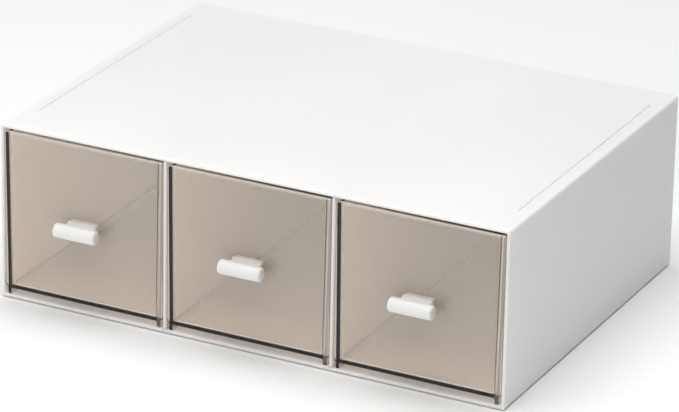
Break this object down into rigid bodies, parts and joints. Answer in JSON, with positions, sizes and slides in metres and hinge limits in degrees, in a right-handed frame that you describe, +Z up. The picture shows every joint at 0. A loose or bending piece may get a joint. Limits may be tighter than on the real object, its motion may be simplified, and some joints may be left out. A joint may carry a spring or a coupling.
{
  "type": "desk organizer",
  "caption": "Low white desktop cabinet with tinted transparent drawers side by side, each with a short white bar handle.",
  "frame": {"origin": "middle of the whole object's box, handles included, on the surface that it stands on", "axes": "+X along the width, +Y from the drawer fronts to the back, +Z up"},
  "size_m": [0.27, 0.2064, 0.0906],
  "materials": {
    "cabinet_white": "satin moulded plastic",
    "drawer_tint": "clear tea-tinted plastic, polished",
    "handle_white": "smooth semi-gloss"
  },
  "bodies": {
    "cabinet": {"cabinet_shell": "cabinet_white", "back_panel": "cabinet_white", "divider_left": "cabinet_white", "divider_right": "cabinet_white"},
    "left_drawer": {"drawer_left": "drawer_tint", "handle_left": "handle_white"},
    "middle_drawer": {"drawer_middle": "drawer_tint", "handle_middle": "handle_white"},
    "right_drawer": {"drawer_right": "drawer_tint", "handle_right": "handle_white"}
  },
  "joints": [
    {"name": "left_slide", "type": "slide", "parent": "cabinet", "child": "left_drawer", "axis": [0, -1, 0], "range_m": [0, 0.15]},
    {"name": "middle_slide", "type": "slide", "parent": "cabinet", "child": "middle_drawer", "axis": [0, -1, 0], "range_m": [0, 0.15]},
    {"name": "right_slide", "type": "slide", "parent": "cabinet", "child": "right_drawer", "axis": [0, -1, 0], "range_m": [0, 0.15]}
  ]
}
